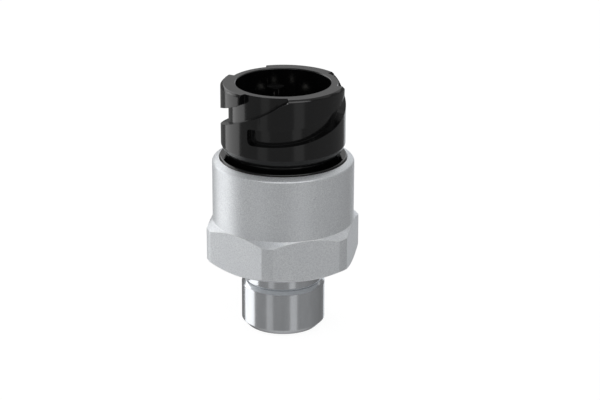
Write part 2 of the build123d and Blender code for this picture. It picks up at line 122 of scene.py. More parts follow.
class SensorSocketSizes(bpy.types.PropertyGroup):
    """Sizes of the plug socket, its flange and its bayonet tracks."""

    turn: bpy.props.FloatProperty(
        name="Turn", description="How far the socket is turned from the hexagon",
        default=math.radians(-18.6), subtype="ANGLE")
    low_z: size("Skirt end", "Height of the skirt's lower end", SHELL_LOW.z / MM)
    rim_z: size("Rim", "Height of the rim", SHELL_HIGH.z / MM)
    drum_r: size("Drum radius", "Outer radius of the drum", 11.75)
    drum_height: size("Drum height", "Height of the drum", 13.15)
    low_width: size("Lower chamfer width", "Width of the drum's lower chamfer", 0.65)
    low_height: size("Lower chamfer height", "Height of the drum's lower chamfer", 1.5)
    rim_chamfer: size("Rim chamfer", "Chamfer round the rim", 0.45)
    mouth_chamfer: size("Mouth chamfer", "Chamfer at the socket's mouth", 0.15)
    bore_r: size("Bore radius", "Radius of the socket", 8.9)
    bore_depth: size("Bore depth", "Depth of the socket", 14.7)
    floor_thick: size("Floor", "Thickness of the socket's floor", 2.2)
    neck_r: size("Neck radius", "Radius of the neck below the drum", 10.35)
    neck_height: size("Neck height", "Height of the neck below the drum", 0.97)
    moat_depth: size("Moat depth", "Depth of the hollows in the flange", 1.5)
    moat_wall: size("Moat wall", "Width of the flange's rim round the hollows", 0.49)
    flange_gap: size("Flange gap", "Gap between the lip and the flange", 0.04)
    pad_depth: size("Pad depth", "How far a pad stands from the neck", 0.11)
    pad_half: size("Pad half width", "Half the width of a pad at the neck", 1.7)
    key_r: size("Key radius", "Radius of the key in the socket", 1.6)
    key_drop: size("Key drop", "Depth of the key's top below the rim", 3.5)
    track_depth: size("Track depth", "Depth of a bayonet track", 1.49)
    track_rise: size("Track start", "Height of a track's start above the drum's chamfer", 2.5)
    pin_circle_r: size("Pin circle", "Radius of the circle of contact pins", 4.5)
    pin_r: size("Pin radius", "Radius of a contact pin", 1.25)
    edge_round: size("Edge rounding", "Rounding of the moulded edges", 0.06)
    colour: tint("Socket colour", "Colour of the moulded plastic", (0.0035, 0.0036, 0.0038))


# Sizes that no one needs to set

# Gaps, overlaps and the small sizes of fits
FIT_GAP = 0.02 * MM
CUT_OVER = 1.0 * MM
NEAR = 0.001 * MM
SHORTEST_EDGE = 0.02 * MM
SKIRT_STEP = 0.1 * MM
CELL_STEP = 0.6 * MM
FLAT_ANGLE = math.radians(0.05)
SHARP_ANGLE = math.radians(40)
EASED_ANGLE = math.radians(18)
SHADING_WEIGHT = 60
BELOW_ALL, ABOVE_ALL = -1, 1

# Roundings
HOUSING_EDGE = 0.08 * MM
LEDGE_EDGE = 0.02 * MM
PORT_EDGE = 0.05 * MM
FLANGE_EDGE = 0.33 * MM

# How many straight steps a round shape has
TURN_STEPS = 192
BAR_STEPS = 48
KEY_STEPS = 96
RING_STEPS = 4
UNDERCUT_STEPS = 8
EASED_STEPS = 2
CLOSED_END_STEPS = 10
RUN_STEPS = 44
ENTRY_STEPS = 24

# One bayonet track. Each of its edges is a row of (angle in degrees, share of the way up to the rim).
TRACK_COUNT = 3
TRACK_LOW_EDGE = (
    (-40.0, 0.005), (-20.0, 0.008), (-1.4, 0.026), (18.8, 0.073), (29.7, 0.120), (42.0, 0.185),
    (58.0, 0.280), (74.0, 0.410), (87.0, 0.518), (98.4, 0.625), (108.7, 0.752), (118.0, 0.876),
    (124.5, 0.936), (135.0, 0.98),
)
TRACK_HIGH_EDGE = (
    (-40.0, 0.345), (-20.0, 0.348), (0.0, 0.367), (10.0, 0.385), (20.0, 0.413), (32.0, 0.464),
    (40.0, 0.516), (48.0, 0.567), (56.0, 0.620), (62.0, 0.663), (68.4, 0.722), (76.5, 0.800),
    (90.0, 0.95),
)
TRACK_START = -27.0
TRACK_END = 124.5
LAND_END = 76.5
CLOSED_END_ANGLE = -30.05
CLOSED_END_SIDE = 0.88 * MM
CLOSED_END_LOW_ROUND = 1.0 * MM
CLOSED_END_TOP_ROUND = 0.65 * MM
STEP_ANGLE = 0.1

# The moat's pads, the key and the contact pins
PAD_SPREAD = math.radians(22)
PAD_ROOT = 0.5 * MM
PAD_SUNK = 0.25 * MM
PAD_GRIP_SHARE = 0.125
KEY_ANGLE = 189.5
KEY_ROOT = 0.3 * MM
FIRST_PIN_ANGLE = 45
PIN_HEAD_THICK = 0.6 * MM
PIN_TIP = 0.7 * MM
PIN_TIP_LOW_ROUND = 0.35 * MM
PIN_TIP_TOP_ROUND = 0.3 * MM


def at(radius, degrees, height):
    """The point at a radius, an angle from the front (-Y) and a height."""
    turn = math.radians(degrees)
    return Vector((radius * math.sin(turn), -radius * math.cos(turn), height))


# Mesh helpers


def turned(outline, closed=True, steps=TURN_STEPS):
    """A bmesh of an outline of (radius, height) points, spun about Z."""
    bm = bmesh.new()
    verts = [bm.verts.new((r, 0, z)) for r, z in outline]
    ends = verts[1:] + verts[:1] if closed else verts[1:]
    edges = [bm.edges.new(pair) for pair in zip(verts, ends)]
    bmesh.ops.spin(bm, geom=verts + edges, cent=(0, 0, 0), axis=(0, 0, 1), dvec=(0, 0, 0),
                   angle=math.tau, steps=steps, use_merge=True, use_duplicate=False)
    tidy(bm)
    return bm


def tidy(bm, near=1e-7):
    """Merges doubles, drops slivers and loose edges, and turns the faces outwards."""
    bmesh.ops.remove_doubles(bm, verts=bm.verts, dist=near)
    bmesh.ops.dissolve_degenerate(bm, edges=bm.edges, dist=near)
    loose = [e for e in bm.edges if not e.link_faces]
    bmesh.ops.delete(bm, geom=loose, context="EDGES")
    bmesh.ops.recalc_face_normals(bm, faces=bm.faces)


def swept(sections):
    """A closed bmesh that runs through a row of four-cornered sections."""
    bm = bmesh.new()
    corners = [bm.verts.new(point) for point in sections[0]]
    face = bm.faces.new(corners)
    for section in sections[1:]:
        old_face, is_inside = face, any(len(e.link_faces) > 1 for e in face.edges)
        made = bmesh.ops.extrude_face_region(bm, geom=[face])["geom"]
        face = next(g for g in made if isinstance(g, bmesh.types.BMFace))
        if is_inside:
            bmesh.ops.delete(bm, geom=[old_face], context="FACES_ONLY")
        corners = [min(face.verts, key=lambda v: (v.co - old.co).length) for old in corners]
        for corner, point in zip(corners, section):
            corner.co = point
    tidy(bm)
    return bm


def round_ring(bm, radius, height, offset, segments=RING_STEPS):
    """Rounds the ring edge that lies at a radius and a height."""
    def is_on(v):
        return abs(v.co.xy.length - radius) < NEAR and abs(v.co.z - height) < NEAR
    ring = [e for e in bm.edges if is_on(e.verts[0]) and is_on(e.verts[1])]
    bmesh.ops.bevel(bm, geom=ring, offset=offset, offset_type="OFFSET", affect="EDGES",
                    segments=segments, profile=0.5, clamp_overlap=True, material=-1)


def ease_edges(bm, offset, heights=(BELOW_ALL, ABOVE_ALL)):
    """Rounds every clear edge whose upper end lies between two heights, and marks what stays sharp."""
    def is_sharp(edge):
        top = max(v.co.z for v in edge.verts)
        return (len(edge.link_faces) == 2 and edge.calc_face_angle(0) > EASED_ANGLE
                and heights[0] < top <= heights[1])
    sharp = [e for e in bm.edges if is_sharp(e)]
    bmesh.ops.bevel(bm, geom=sharp, offset=offset, offset_type="OFFSET", affect="EDGES",
                    segments=EASED_STEPS, profile=0.5, clamp_overlap=False, material=-1)
    tidy(bm, 1e-8)
    for edge in bm.edges:
        edge.smooth = edge.calc_face_angle(0) < SHARP_ANGLE


def to_object(bm, name):
    """Puts a bmesh in a new object at the origin."""
    mesh = bpy.data.meshes.new(name)
    bm.to_mesh(mesh)
    bm.free()
    obj = bpy.data.objects.new(name, mesh)
    bpy.context.scene.collection.objects.link(obj)
    return obj


def joined(base, tools, operation):
    """A bmesh of one bmesh cut, joined or crossed with others."""
    body = to_object(base, "working_body")
    helpers = [to_object(bm, "working_tool") for bm in tools]
    for helper in helpers:
        step = body.modifiers.new("step", "BOOLEAN")
        step.operation = operation
        step.solver = "EXACT"
        step.object = helper
    depsgraph = bpy.context.evaluated_depsgraph_get()
    mesh = bpy.data.meshes.new_from_object(body.evaluated_get(depsgraph))
    bm = bmesh.new()
    bm.from_mesh(mesh)
    bpy.data.meshes.remove(mesh)
    for obj in [body] + helpers:
        old = obj.data
        bpy.data.objects.remove(obj)
        bpy.data.meshes.remove(old)
    tidy(bm, 1e-6)
    return bm


def show(bm, name, material, nodes):
    """Makes a finished piece that stands for some of the solids."""
    obj = to_object(bm, name)
    obj.data.materials.append(material)
    for face in obj.data.polygons:
        face.use_smooth = True
    even = obj.modifiers.new("even_shading", "WEIGHTED_NORMAL")
    even.keep_sharp = True
    even.weight = SHADING_WEIGHT
    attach(obj, "root")
    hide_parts(*nodes)


def dress(node, material):
    """Gives a solid's own mesh a finish."""
    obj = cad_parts[node]
    obj.data.materials.clear()
    obj.data.materials.append(material)


# Material helpers

NOISE_MIDDLE = (0.3, 0.7)
NOISE_CORE = (0.35, 0.65)
FLAT_DOT, BENT_DOT = 0.995, 0.93


class Finish:
    """A material whose shader nodes are added one by one."""

    def __init__(self, name, metallic=0.0, roughness=0.5):
        self.material = bpy.data.materials.new(name)
        self.material.use_nodes = True
        self.tree = self.material.node_tree
        self.shader = self.tree.nodes["Principled BSDF"]
        self.shader.inputs["Metallic"].default_value = metallic
        self.shader.inputs["Roughness"].default_value = roughness
        self.place = self.add("ShaderNodeTexCoord").outputs["Object"]
        self.bump = None

    def add(self, kind, **values):
        """Adds a node, and sets its own settings and its inputs by name."""
        node = self.tree.nodes.new(kind)
        for key, value in values.items():
            if key in node.inputs:
                self.put(node.inputs[key], value)
            else:
                setattr(node, key, value)
        return node

    def put(self, socket, value):
        """Sets a socket, or links it to an output."""
        if isinstance(value, bpy.types.NodeSocket):
            self.tree.links.new(value, socket)
        else:
            socket.default_value = value

    def stretched(self, scale):
        """The piece's own coordinates, stretched for a grain that runs one way."""
        return self.add("ShaderNodeMapping", Vector=self.place, Scale=scale).outputs["Vector"]

    def noise(self, grain_mm, detail=3.0, stretch=None, rough=0.55):
        """A noise whose features are about grain_mm wide."""
        place = self.stretched(stretch) if stretch else self.place
        node = self.add("ShaderNodeTexNoise", Vector=place, Scale=1 / (grain_mm * MM),
                        Detail=detail, Roughness=rough)
        return node.outputs["Fac"]

    def between(self, value, low, high, out_low, out_high):
        """A value mapped from one range to another."""
        node = self.add("ShaderNodeMapRange")
        for socket, given in zip(node.inputs[:5], (value, low, high, out_low, out_high)):
            self.put(socket, given)
        return node.outputs["Result"]

    def maths(self, operation, first, second):
        """Two values put together by one operation."""
        node = self.add("ShaderNodeMath", operation=operation)
        self.put(node.inputs[0], first)
        self.put(node.inputs[1], second)
        return node.outputs[0]

    def blend(self, share, first, second):
        """A colour between two colours."""
        node = self.add("ShaderNodeMix", data_type="RGBA")
        self.put(node.inputs["Factor"], share)
        for socket, colour in zip((node.inputs[6], node.inputs[7]), (first, second)):
            self.put(socket, colour if isinstance(colour, bpy.types.NodeSocket) else (*colour, 1))
        return node.outputs[2]

    def edges(self, width_mm):
        """1 along the piece's edges and 0 elsewhere."""
        soft = self.add("ShaderNodeBevel", samples=4, Radius=width_mm * MM).outputs["Normal"]
        flat = self.add("ShaderNodeNewGeometry").outputs["Normal"]
        dot = self.add("ShaderNodeVectorMath", operation="DOT_PRODUCT")
        self.put(dot.inputs[0], soft)
        self.put(dot.inputs[1], flat)
        return self.between(dot.outputs["Value"], FLAT_DOT, BENT_DOT, 0.0, 1.0)

    def colour(self, value):
        self.put(self.shader.inputs["Base Color"], value)

    def rough(self, value):
        self.put(self.shader.inputs["Roughness"], value)

    def raise_by(self, height, depth_mm):
        """Adds a relief of the given depth."""
        node = self.add("ShaderNodeBump", Height=height, Distance=depth_mm * MM, Strength=1.0)
        if self.bump:
            self.put(node.inputs["Normal"], self.bump)
        self.bump = node.outputs["Normal"]
        self.put(self.shader.inputs["Normal"], self.bump)


def toned(colour, share):
    """A colour times a share, so that it gets darker, or lighter above 1."""
    return tuple(min(1.0, channel * share) for channel in colour)


def blasted_metal(colour):
    """Fine bead-blasted metal with a dull grain, smoother along its edges, with a painted highlight
    that lightens its edges.
    """
    f = Finish("blasted_metal", metallic=0.58)
    grain = f.noise(0.24, detail=4, rough=0.75)
    cloud = f.noise(6.0, detail=3)
    edge = f.edges(0.25)
    tone = f.blend(f.between(grain, *NOISE_CORE, 0, 1), toned(colour, 0.8), toned(colour, 1.14))
    tone = f.blend(f.between(cloud, *NOISE_CORE, 0, 0.35), tone, toned(colour, 0.93))
    # Painted highlight: the colour is lighter along the edges, where rounded edges would catch the
    # light.
    f.colour(f.blend(f.maths("MULTIPLY", edge, 0.6), tone, toned(colour, 1.25)))
    dull = f.between(grain, *NOISE_MIDDLE, 0.36, 0.46)
    f.rough(f.maths("SUBTRACT", dull, f.maths("MULTIPLY", edge, 0.1)))
    f.raise_by(grain, 0.008)
    return f.material


def polished_steel(name, colour, roughness=0.17):
    """Turned and polished steel with the faint rings of the lathe, and a painted highlight along its
    edges.
    """
    f = Finish(name, metallic=1.0)
    rings = f.noise(0.05, detail=2, stretch=(0.02, 0.02, 1.0))
    smear = f.noise(1.5, detail=3, stretch=(1, 1, 0.3))
    edge = f.edges(0.15)
    tone = f.blend(f.between(smear, *NOISE_CORE, 0, 1), toned(colour, 0.94), colour)
    # Painted highlight: the colour is lighter along the edges, where rounded edges would catch the
    # light.
    f.colour(f.blend(f.maths("MULTIPLY", edge, 0.5), tone, toned(colour, 1.2)))
    f.rough(f.between(rings, *NOISE_MIDDLE, roughness * 0.8, roughness * 1.35))
    f.raise_by(rings, 0.0012)
    return f.material


def moulded_plastic(name, colour, gloss=0.14, grain_mm=0.12):
    """Moulded plastic with a fine eroded texture, slightly glossier edges and a painted highlight that
    lightens them.
    """
    f = Finish(name)
    grain = f.noise(grain_mm, detail=3, rough=0.6)
    flow = f.noise(4.0, detail=2, stretch=(1, 1, 0.4))
    edge = f.edges(0.2)
    tone = f.blend(f.between(flow, *NOISE_CORE, 0, 1), toned(colour, 0.85), toned(colour, 1.15))
    # Painted highlight: the colour is lighter along the edges, where rounded edges would catch the
    # light.
    f.colour(f.blend(f.maths("MULTIPLY", edge, 0.3), tone, toned(colour, 1.5)))
    dull = f.between(grain, *NOISE_MIDDLE, gloss * 0.88, gloss * 1.12)
    f.rough(f.maths("SUBTRACT", dull, f.maths("MULTIPLY", edge, 0.02)))
    f.raise_by(grain, 0.0025)
    return f.material


def plated_contact(name, colour):
    """Plated contact metal with fine scratches along the way the plug slides."""
    f = Finish(name, metallic=1.0)
    scratch = f.noise(0.06, detail=2, stretch=(1, 1, 0.03))
    stain = f.noise(0.8, detail=3)
    f.colour(f.blend(f.between(stain, *NOISE_CORE, 0, 1), toned(colour, 0.85), colour))
    f.rough(f.between(scratch, *NOISE_MIDDLE, 0.2, 0.36))
    f.raise_by(scratch, 0.002)
    return f.material


def dull_rubber(name, colour):
    """Seal rubber with a powdery bloom."""
    f = Finish(name)
    bloom = f.noise(0.6, detail=4)
    f.colour(f.blend(f.between(bloom, 0.4, 0.7, 0, 1), colour, toned(colour, 2.0)))
    f.rough(f.between(bloom, *NOISE_MIDDLE, 0.55, 0.75))
    f.raise_by(f.noise(0.1, detail=2), 0.004)
    return f.material


def board_laminate(colour):
    """A circuit board's green mask over copper tracks."""
    f = Finish("board_laminate", roughness=0.35)
    cells = f.add("ShaderNodeTexVoronoi", Vector=f.place, Scale=1 / (1.1 * MM),
                  feature="DISTANCE_TO_EDGE").outputs["Distance"]
    copper = f.between(cells, 0.09, 0.12, 1.0, 0.0)
    f.colour(f.blend(f.maths("MULTIPLY", copper, 0.6), colour, toned(colour, 2.2)))
    f.rough(f.between(f.noise(0.3), *NOISE_MIDDLE, 0.28, 0.42))
    f.raise_by(copper, 0.02)
    return f.material


def fired_ceramic(name, colour, roughness=0.3):
    """A fired ceramic or film with specks."""
    f = Finish(name, roughness=roughness)
    specks = f.noise(0.12, detail=4)
    f.colour(f.blend(f.between(specks, 0.4, 0.65, 0, 1), colour, toned(colour, 1.5)))
    f.rough(f.between(specks, *NOISE_MIDDLE, roughness * 0.8, roughness * 1.3))
    f.raise_by(specks, 0.003)
    return f.material


# The pieces


def hexagon_prism(sizes):
    """The hexagon's six flats, taller than the housing."""
    bm = bmesh.new()
    across_corners = sizes.flat_r / math.cos(math.pi / 6)
    bmesh.ops.create_cone(bm, cap_ends=True, segments=6, radius1=across_corners,
                          radius2=across_corners, depth=sizes.lip_z)
    bmesh.ops.rotate(bm, verts=bm.verts, cent=(0, 0, 0), matrix=corner_on_x(bm))
    bmesh.ops.translate(bm, verts=bm.verts, vec=(0, 0, sizes.low_z - CUT_OVER + sizes.lip_z / 2))
    return bm


def corner_on_x(bm):
    """The turn about Z that puts a corner on the X axis."""
    first = bm.verts[:][0].co
    return Matrix.Rotation(-math.atan2(first.y, first.x), 3, "Z")


def housing_outline(sizes):
    """The turned outline of the housing, with the case's radius and its lower and upper end."""
    rise, lip_rise = math.tan(sizes.hexagon_slope), math.tan(sizes.lip_slope)
    case_r = sizes.flat_r - sizes.case_inset
    face_r = sizes.flat_r - sizes.face_inset
    lip_r = case_r - sizes.lip_width
    seat_r = case_r - sizes.case_wall
    cup_r = case_r - sizes.cup_wall
    shank_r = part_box("pressure_port")[1].x + FIT_GAP
    stem_r = shank_r - sizes.stem_step
    corner_low = sizes.low_z + (sizes.bar_r - face_r) * rise
    corner_high = corner_low + sizes.side_height
    shoulder = sizes.lip_z - sizes.lip_width * lip_rise
    lip_low = sizes.lip_z - sizes.lip_thick
    floor = sizes.low_z + sizes.floor_thick
    shank_top = sizes.low_z + sizes.shank_height
    outline = [
        (shank_r, sizes.low_z),
        (face_r, sizes.low_z),
        (sizes.bar_r, corner_low),
        (sizes.bar_r, corner_high),
        (case_r, corner_high + (sizes.bar_r - case_r) * rise),
        (case_r, shoulder),
        (lip_r, sizes.lip_z),
        (lip_r, lip_low),
        (seat_r, lip_low - (seat_r - lip_r) * lip_rise),
        (seat_r, sizes.lip_z - sizes.seat_drop),
        (cup_r, sizes.lip_z - sizes.seat_drop),
        (cup_r, floor),
        (stem_r, floor),
        (stem_r, shank_top),
        (shank_r, shank_top),
    ]
    return outline, case_r, corner_high, shoulder


def build_housing(sizes):
    outline, case_r, corner_high, shoulder = housing_outline(sizes)
    bm = joined(turned(outline), [hexagon_prism(sizes)], "INTERSECT")
    round_ring(bm, case_r, shoulder, sizes.edge_round)
    ledge = corner_high + NEAR
    ease_edges(bm, HOUSING_EDGE, heights=(BELOW_ALL, ledge))
    ease_edges(bm, LEDGE_EDGE, heights=(ledge, shoulder - sizes.edge_round))
    ease_edges(bm, HOUSING_EDGE, heights=(shoulder - sizes.edge_round, ABOVE_ALL))
    show(bm, "housing_body", blasted_metal(sizes.colour), ["housing"])


def build_port(sizes):
    house = all_sizes().housing
    neck_r = sizes.spigot_r - sizes.undercut
    under = HOUSING_LOW.z
    shank_top = under + house.shank_height
    stem_r = sizes.spigot_r - house.stem_step
    ring_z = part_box("lock_ring")[1].z
    boss_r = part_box("sensor_cell")[1].x + CELL_STEP
    bm = turned([
        (sizes.orifice_r, 0),
        (sizes.spigot_r - sizes.end_width, 0),
        (sizes.spigot_r, sizes.end_height),
        (sizes.spigot_r, sizes.length - sizes.top_height),
        (sizes.spigot_r - sizes.top_width, sizes.length),
        (neck_r, sizes.length),
        (neck_r, under),
        (sizes.spigot_r, under),
        (sizes.spigot_r, shank_top),
        (stem_r, shank_top),
        (stem_r, ring_z),
        (boss_r, ring_z),
        (boss_r, PORT_HIGH.z),
        (sizes.channel_r, PORT_HIGH.z),
        (sizes.channel_r, sizes.orifice_depth),
        (sizes.orifice_r, sizes.orifice_depth),
    ])
    round_ring(bm, neck_r, sizes.length, sizes.undercut_low, UNDERCUT_STEPS)
    round_ring(bm, neck_r, under, sizes.undercut_top, UNDERCUT_STEPS)
    ease_edges(bm, PORT_EDGE)
    show(bm, "polished_spigot", polished_steel("polished_steel", sizes.colour),
         ["pressure_port"])


def edge_height(edge, degrees, sizes):
    """The height of a track's edge at an angle, on a smooth curve through the edge's points."""
    last = len(edge) - 1
    i = max(k for k in range(last) if k == 0 or edge[k][0] <= degrees)
    (from_angle, low), (to_angle, high) = edge[i], edge[i + 1]
    before, after = edge[max(i - 1, 0)], edge[min(i + 2, last)]
    width = to_angle - from_angle
    slope_in = (high - before[1]) / (to_angle - before[0]) * width
    slope_out = (after[1] - low) / (after[0] - from_angle) * width
    t = (degrees - from_angle) / width
    bend = slope_in * (1 - t) - slope_out * t + (high - low) * (2 * t - 1)
    share = low + (high - low) * t + t * (1 - t) * bend
    start = sizes.rim_z - sizes.drum_height + sizes.low_height + sizes.track_rise
    return start + (sizes.rim_z - start) * share


def arc_drop(distance, radius):
    """How far a round corner falls away at a distance from where it starts."""
    distance = min(max(distance, 0.0), radius)
    return radius - math.sqrt(radius * radius - distance * distance)


def track_sections(sizes):
    """The sections of one bayonet track, from its closed end to where it leaves the rim."""
    outer_r, floor_r = sizes.drum_r + CUT_OVER, sizes.drum_r - sizes.track_depth
    sections = []

    def section(outer_angle, inner_angle, bottom, top):
        sections.append([
            at(floor_r, inner_angle, bottom), at(outer_r, outer_angle, bottom),
            at(outer_r, outer_angle, top), at(floor_r, inner_angle, top)])

    low = edge_height(TRACK_LOW_EDGE, TRACK_START, sizes)
    high = edge_height(TRACK_HIGH_EDGE, TRACK_START, sizes)
    for i in range(CLOSED_END_STEPS + 1):
        gone = CLOSED_END_LOW_ROUND * (1 - math.cos(math.radians(90 * i / CLOSED_END_STEPS)))
        side = gone - CLOSED_END_SIDE
        section(CLOSED_END_ANGLE + math.degrees(math.asin(side / outer_r)),
                CLOSED_END_ANGLE + math.degrees(math.asin(side / floor_r)),
                low + arc_drop(CLOSED_END_LOW_ROUND - gone, CLOSED_END_LOW_ROUND),
                high - arc_drop(CLOSED_END_TOP_ROUND - gone, CLOSED_END_TOP_ROUND))
    for i in range(RUN_STEPS + 1):
        angle = TRACK_START + (LAND_END - TRACK_START) * i / RUN_STEPS
        section(angle, angle, edge_height(TRACK_LOW_EDGE, angle, sizes),
                edge_height(TRACK_HIGH_EDGE, angle, sizes))
    for i in range(ENTRY_STEPS + 1):
        angle = LAND_END + STEP_ANGLE + (TRACK_END - LAND_END) * i / ENTRY_STEPS
        section(angle, angle, edge_height(TRACK_LOW_EDGE, angle, sizes), sizes.rim_z + CUT_OVER)
    return sections


def track_cutters(sizes):
    """The bayonet tracks as bodies to cut away."""
    for i in range(TRACK_COUNT):
        bm = swept(track_sections(sizes))
        turn = Matrix.Rotation(math.tau * i / TRACK_COUNT, 3, "Z")
        bmesh.ops.rotate(bm, verts=bm.verts, cent=(0, 0, 0), matrix=turn)
        yield bm


def flange_pads(sizes, outer_r, flange_z):
    """The two pads that part the moat in the flange's top, left and right."""
    low, high = flange_z - sizes.moat_depth, flange_z
    root = sizes.bore_r + PAD_ROOT
    start = sizes.neck_r + sizes.pad_depth
    reach = outer_r - start + CUT_OVER
    wide = sizes.pad_half + reach / math.tan(PAD_SPREAD)
    outline = [
        (root, -sizes.pad_half), (start, -sizes.pad_half), (start + reach, -wide),
        (start + reach, wide), (start, sizes.pad_half), (root, sizes.pad_half),
    ]
    for side in (1, -1):
        bm = bmesh.new()
        verts = [bm.verts.new((side * x, side * y, low - PAD_SUNK)) for x, y in outline]
        made = bmesh.ops.extrude_face_region(bm, geom=[bm.faces.new(verts)])["geom"]
        top = [g for g in made if isinstance(g, bmesh.types.BMVert)]
        bmesh.ops.translate(bm, verts=top, vec=(0, 0, high - low + PAD_SUNK))
        tidy(bm)
        keep = upright(outer_r + sizes.moat_wall * PAD_GRIP_SHARE, Vector((0, 0, 0)),
                       low - CUT_OVER, high + CUT_OVER, TURN_STEPS)
        yield joined(bm, [keep], "INTERSECT")


def build_socket(sizes):
    floor_z = sizes.rim_z - sizes.bore_depth
    under_z = floor_z - sizes.floor_thick
    drum_low = sizes.rim_z - sizes.drum_height
    flange_z = drum_low - sizes.neck_height
    house = all_sizes().housing
    lip_r = house.flat_r - house.case_inset - house.lip_width
    top_r = lip_r - sizes.flange_gap
    side_r = SHELL_HIGH.x
    moat_r = lip_r - sizes.moat_wall
    lip_low = house.lip_z - house.lip_thick
    seal_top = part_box("flange_seal")[1].z
    skirt_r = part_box("board_carrier")[1].x - SKIRT_STEP
    bore_low_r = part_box("pin_potting")[1].x + FIT_GAP
    bm = turned([
        (0, under_z),
        (bore_low_r, under_z),
        (bore_low_r, sizes.low_z),
        (skirt_r, sizes.low_z),
        (skirt_r, seal_top),
        (side_r, seal_top),
        (side_r, lip_low - (side_r - lip_r) * math.tan(house.lip_slope) - FIT_GAP),
        (top_r, lip_low - FIT_GAP),
        (top_r, flange_z),
        (moat_r, flange_z),
        (moat_r, flange_z - sizes.moat_depth),
        (sizes.neck_r, flange_z - sizes.moat_depth),
        (sizes.neck_r, drum_low),
        (sizes.drum_r - sizes.low_width, drum_low),
        (sizes.drum_r, drum_low + sizes.low_height),
        (sizes.drum_r, sizes.rim_z - sizes.rim_chamfer),
        (sizes.drum_r - sizes.rim_chamfer, sizes.rim_z),
        (sizes.bore_r + sizes.mouth_chamfer, sizes.rim_z),
        (sizes.bore_r, sizes.rim_z - sizes.mouth_chamfer),
        (sizes.bore_r, floor_z),
        (0, floor_z),
    ], closed=False)
    round_ring(bm, top_r, flange_z, FLANGE_EDGE)
    cutters = list(track_cutters(sizes)) + pin_holes(sizes, under_z, floor_z)
    bm = joined(bm, cutters, "DIFFERENCE")
    bm = joined(bm, [key_rib(sizes, floor_z), *flange_pads(sizes, moat_r, flange_z)], "UNION")
    tidy(bm, SHORTEST_EDGE)
    bmesh.ops.dissolve_limit(bm, angle_limit=FLAT_ANGLE, verts=bm.verts, edges=bm.edges)
    ease_edges(bm, sizes.edge_round)
    bmesh.ops.rotate(bm, verts=bm.verts, cent=(0, 0, 0), matrix=Matrix.Rotation(sizes.turn, 3, "Z"))
    show(bm, "bayonet_socket", moulded_plastic("moulded_socket", sizes.colour),
         ["connector_shell"])


def upright(radius, place, low, high, segments=BAR_STEPS):
    """An upright round bar."""
    bm = bmesh.new()
    bmesh.ops.create_cone(bm, cap_ends=True, segments=segments, radius1=radius, radius2=radius,
                          depth=high - low)
    bmesh.ops.translate(bm, verts=bm.verts, vec=(place.x, place.y, (low + high) / 2))
    return bm


def pin_places(sizes):
    """Where the contact pins stand, before the socket's turn."""
    count = len(PIN_NODES)
    return [at(sizes.pin_circle_r, FIRST_PIN_ANGLE + 360 * i / count, 0) for i in range(count)]


def pin_holes(sizes, low, high):
    """The holes for the contact pins as bodies to cut away."""
    return [upright(sizes.pin_r + FIT_GAP, place, low - CUT_OVER, high + CUT_OVER)
            for place in pin_places(sizes)]


def key_rib(sizes, floor_z):
    """The half-round key on the socket's wall."""
    place = at(sizes.bore_r, KEY_ANGLE, 0)
    rib = upright(sizes.key_r, place, floor_z - CUT_OVER, sizes.rim_z - sizes.key_drop)
    keep = upright(sizes.bore_r + KEY_ROOT, Vector((0, 0, 0)), floor_z - CUT_OVER, sizes.rim_z,
                   KEY_STEPS)
    return joined(rib, [keep], "INTERSECT")


def build_contacts(sizes):
    metal = plated_contact("plated_contact", (0.62, 0.61, 0.57))
    for node, place in zip(PIN_NODES, pin_places(sizes)):
        low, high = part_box(node)
        head_r = (high.x - low.x) / 2
        head_top, tip_r, tip_z = low.z + PIN_HEAD_THICK, sizes.pin_r - PIN_TIP, high.z - PIN_TIP
        bm = turned([
            (0, low.z),
            (head_r, low.z),
            (head_r, head_top),
            (sizes.pin_r, head_top),
            (sizes.pin_r, tip_z),
            (tip_r, high.z),
            (0, high.z),
        ], closed=False, steps=BAR_STEPS)
        round_ring(bm, sizes.pin_r, tip_z, PIN_TIP_LOW_ROUND)
        round_ring(bm, tip_r, high.z, PIN_TIP_TOP_ROUND)
        turn = Matrix.Rotation(sizes.turn, 3, "Z")
        bmesh.ops.translate(bm, verts=bm.verts, vec=turn @ place)
        show(bm, node.replace("contact_pin", "round_contact"), metal, [node])


def build_inner_metal():
    turned_steel = polished_steel("turned_steel", (0.55, 0.55, 0.56), 0.25)
    dress("damping_orifice", turned_steel)
    dress("lock_ring", turned_steel)
    dress("sensor_cell", polished_steel("ground_cell_steel", (0.66, 0.65, 0.63), 0.2))
    for node in SPRING_NODES:
        dress(node, plated_contact("spring_" + node, (0.85, 0.68, 0.36)))
    dress("bond_wires", plated_contact("bond_gold", (0.9, 0.7, 0.34)))


def build_electronics():
    dress("bridge_chip", fired_ceramic("bridge_film", (0.12, 0.17, 0.26)))
    dress("board_carrier", moulded_plastic("carrier_plastic", (0.6, 0.57, 0.48), 0.5))
    dress("circuit_board", board_laminate((0.02, 0.12, 0.05)))
    dress("signal_chip", moulded_plastic("chip_plastic", (0.02, 0.02, 0.02), 0.45))
    dress("board_capacitors", fired_ceramic("capacitor_ceramic", (0.35, 0.22, 0.13), 0.4))
    dress("pin_potting", moulded_plastic("potting_resin", (0.03, 0.026, 0.022), 0.2, 0.8))
    dress("flange_seal", dull_rubber("seal_rubber", (0.012, 0.012, 0.012)))


# The stage

CAMERA_AZIMUTH = math.radians(-18.6)
CAMERA_ELEVATION = math.radians(20.46)
CAMERA_DISTANCE = 0.39084
CAMERA_LENS = 123.19
CAMERA_SHIFT = 0.028
CAMERA_FILM = 36
CAMERA_NEAREST = 0.01
LOOK_AT = Vector((0, 0, 0.0248))

